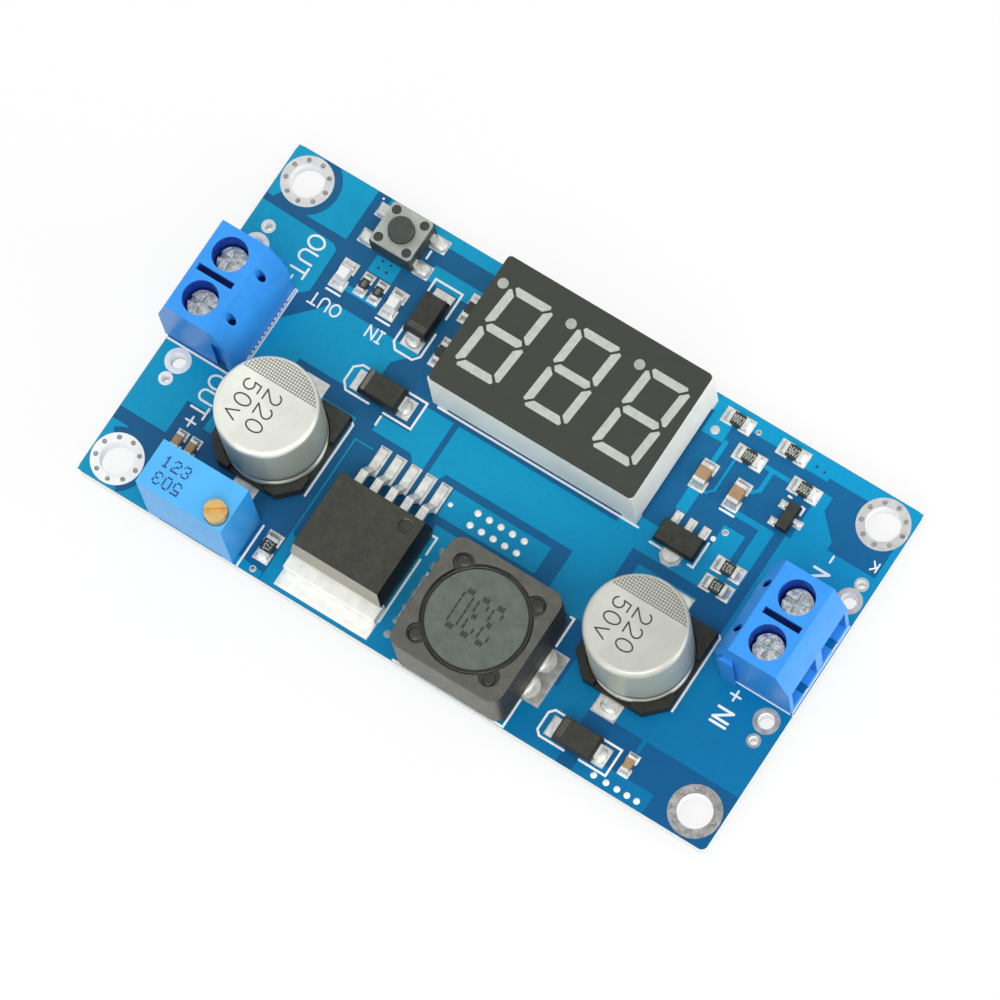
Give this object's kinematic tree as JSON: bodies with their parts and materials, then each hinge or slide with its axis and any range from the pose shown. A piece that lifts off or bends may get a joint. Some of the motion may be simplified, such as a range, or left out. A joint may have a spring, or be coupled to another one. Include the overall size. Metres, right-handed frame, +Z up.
{
  "type": "boost converter module",
  "caption": "Flat blue circuit board that steps a voltage up, with screw terminals at both ends, a trimmer, a push button and a three-digit meter.",
  "frame": {"origin": "centre of the four mounting holes, on the underside of the board", "axes": "+X along the board from the output terminal to the input terminal, +Y towards the display, +Z up, out of the component side"},
  "size_m": [0.0703, 0.038, 0.0144],
  "materials": {
    "solder_mask": "blue solder mask over glass laminate",
    "tin": "tinned copper and solder",
    "terminal_plastic": "moulded blue plastic",
    "zinc": "zinc-plated steel",
    "trimmer_plastic": "moulded pale blue plastic",
    "brass": "turned brass",
    "black_plastic": "moulded black resin",
    "steel": "stamped steel",
    "display_white": "moulded white plastic",
    "face_black": "matt dark face",
    "segment_grey": "pale diffusing resin, unlit",
    "carrier": "glass laminate",
    "ferrite": "grey ferrite",
    "copper": "enamelled copper wire",
    "glue": "dark cured glue",
    "aluminium": "drawn aluminium can",
    "ceramic": "fired ceramic",
    "led_resin": "pale cast resin"
  },
  "bodies": {
    "module": {"circuit_board": "solder_mask", "tinned_pads": "tin", "solder_joints": "tin", "trimmer_housing": "trimmer_plastic", "trimmer_pins": "tin", "switch_base": "black_plastic", "switch_cover": "steel", "switch_dome": "steel", "switch_legs": "tin", "display_housing": "display_white", "display_face": "face_black", "display_segments": "segment_grey", "display_carrier": "carrier", "display_pins": "tin", "microcontroller_body": "black_plastic", "microcontroller_leads": "tin", "regulator_body": "black_plastic", "regulator_tab": "tin", "regulator_leads": "tin", "inductor_shield": "ferrite", "inductor_core": "ferrite", "inductor_winding": "copper", "inductor_glue": "glue", "inductor_clips": "tin", "logic_regulator_body": "black_plastic", "logic_regulator_leads": "tin", "transistor_body": "black_plastic", "transistor_leads": "tin", "output_led": "led_resin", "input_led": "led_resin", "chip_resistor_bodies": "black_plastic", "chip_capacitor_bodies": "ceramic", "chip_ends": "tin", "output_capacitor_can": "aluminium", "output_capacitor_base": "black_plastic", "output_capacitor_leads": "tin", "input_capacitor_can": "aluminium", "input_capacitor_base": "black_plastic", "input_capacitor_leads": "tin", "diode_1_body": "black_plastic", "diode_1_leads": "tin", "diode_2_body": "black_plastic", "diode_2_leads": "tin", "diode_3_body": "black_plastic", "diode_3_leads": "tin", "out_terminal_housing": "terminal_plastic", "out_terminal_contacts": "tin", "in_terminal_housing": "terminal_plastic", "in_terminal_contacts": "tin"},
    "out_terminal_screw_1": {"out_terminal_screw_1": "zinc"},
    "out_terminal_cage_1": {"out_terminal_cage_1": "zinc"},
    "out_terminal_screw_2": {"out_terminal_screw_2": "zinc"},
    "out_terminal_cage_2": {"out_terminal_cage_2": "zinc"},
    "in_terminal_screw_1": {"in_terminal_screw_1": "zinc"},
    "in_terminal_cage_1": {"in_terminal_cage_1": "zinc"},
    "in_terminal_screw_2": {"in_terminal_screw_2": "zinc"},
    "in_terminal_cage_2": {"in_terminal_cage_2": "zinc"},
    "switch_button": {"switch_button": "black_plastic"},
    "trimmer_screw": {"trimmer_screw": "brass"}
  },
  "joints": [
    {"name": "out_screw_1_turn", "type": "hinge", "parent": "module", "child": "out_terminal_screw_1", "pos_m": [-0.0316, -0.001, 0.0094], "axis": [0, 0, 1], "range_deg": [-1080.01, 0]},
    {"name": "out_cage_1_lift", "type": "slide", "parent": "module", "child": "out_terminal_cage_1", "axis": [0, 0, 1], "range_m": [0, 0.00135]},
    {"name": "out_screw_2_turn", "type": "hinge", "parent": "module", "child": "out_terminal_screw_2", "pos_m": [-0.0316, 0.004, 0.0094], "axis": [0, 0, 1], "range_deg": [-1080.01, 0]},
    {"name": "out_cage_2_lift", "type": "slide", "parent": "module", "child": "out_terminal_cage_2", "axis": [0, 0, 1], "range_m": [0, 0.00135]},
    {"name": "in_screw_1_turn", "type": "hinge", "parent": "module", "child": "in_terminal_screw_1", "pos_m": [0.0311, 0.00375, 0.0094], "axis": [0, 0, 1], "range_deg": [-1080.01, 0]},
    {"name": "in_cage_1_lift", "type": "slide", "parent": "module", "child": "in_terminal_cage_1", "axis": [0, 0, 1], "range_m": [0, 0.00135]},
    {"name": "in_screw_2_turn", "type": "hinge", "parent": "module", "child": "in_terminal_screw_2", "pos_m": [0.0311, -0.00125, 0.0094], "axis": [0, 0, 1], "range_deg": [-1080.01, 0]},
    {"name": "in_cage_2_lift", "type": "slide", "parent": "module", "child": "in_terminal_cage_2", "axis": [0, 0, 1], "range_m": [0, 0.00135]},
    {"name": "button_press", "type": "slide", "parent": "module", "child": "switch_button", "axis": [0, 0, 1], "range_m": [-0.00025, 0], "stiffness_N_per_m": 4000, "deforming": ["switch_dome"]},
    {"name": "trimmer_turn", "type": "hinge", "parent": "module", "child": "trimmer_screw", "pos_m": [-0.0186, -0.0177, 0.0118], "axis": [0, 0, 1], "continuous": true}
  ],
  "couplings": [
    {"joint": "out_screw_1_turn", "follows": "out_cage_1_lift", "rad_per_m": -13963},
    {"joint": "out_screw_2_turn", "follows": "out_cage_2_lift", "rad_per_m": -13963},
    {"joint": "in_screw_1_turn", "follows": "in_cage_1_lift", "rad_per_m": -13963},
    {"joint": "in_screw_2_turn", "follows": "in_cage_2_lift", "rad_per_m": -13963}
  ]
}
